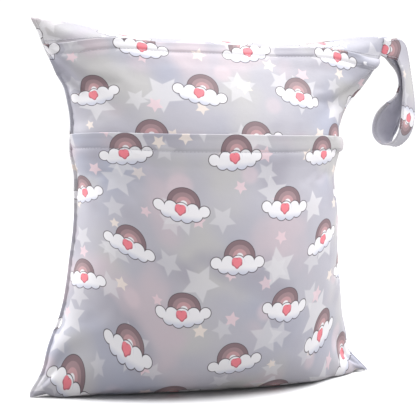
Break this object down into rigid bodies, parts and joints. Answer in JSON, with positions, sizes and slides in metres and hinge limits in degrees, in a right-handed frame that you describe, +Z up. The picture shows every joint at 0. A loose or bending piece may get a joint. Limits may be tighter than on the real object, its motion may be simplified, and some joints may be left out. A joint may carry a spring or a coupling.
{
  "type": "cloth diaper wet bag",
  "caption": "Stuffed rectangular wet bag of laminated cloth with a top zip, a zipped outer pocket under a placket and a hanging strap loop.",
  "frame": {"origin": "middle of the flat base the bag stands on, under the middle of its width", "axes": "+X to the bag's right side as seen from the front, +Y to its back, +Z up; the front with the outer pocket faces -Y"},
  "size_m": [0.386, 0.1424, 0.329],
  "materials": {
    "print": "smooth laminated polyester knit, grey-lavender print",
    "inside": "smooth waterproof film side, plain pale grey",
    "zip": "woven tape with a nylon coil, pale grey",
    "slider": "painted metal slider, pale grey"
  },
  "bodies": {
    "root": {"back_panel": "print", "top_strip": "print", "front_panel": "print", "pocket_panel": "print", "divider_panel": "inside", "top_zip": "zip", "pocket_zip": "zip", "top_slider": "slider", "pocket_slider": "slider", "hanging_strap": "print"}
  },
  "joints": []
}
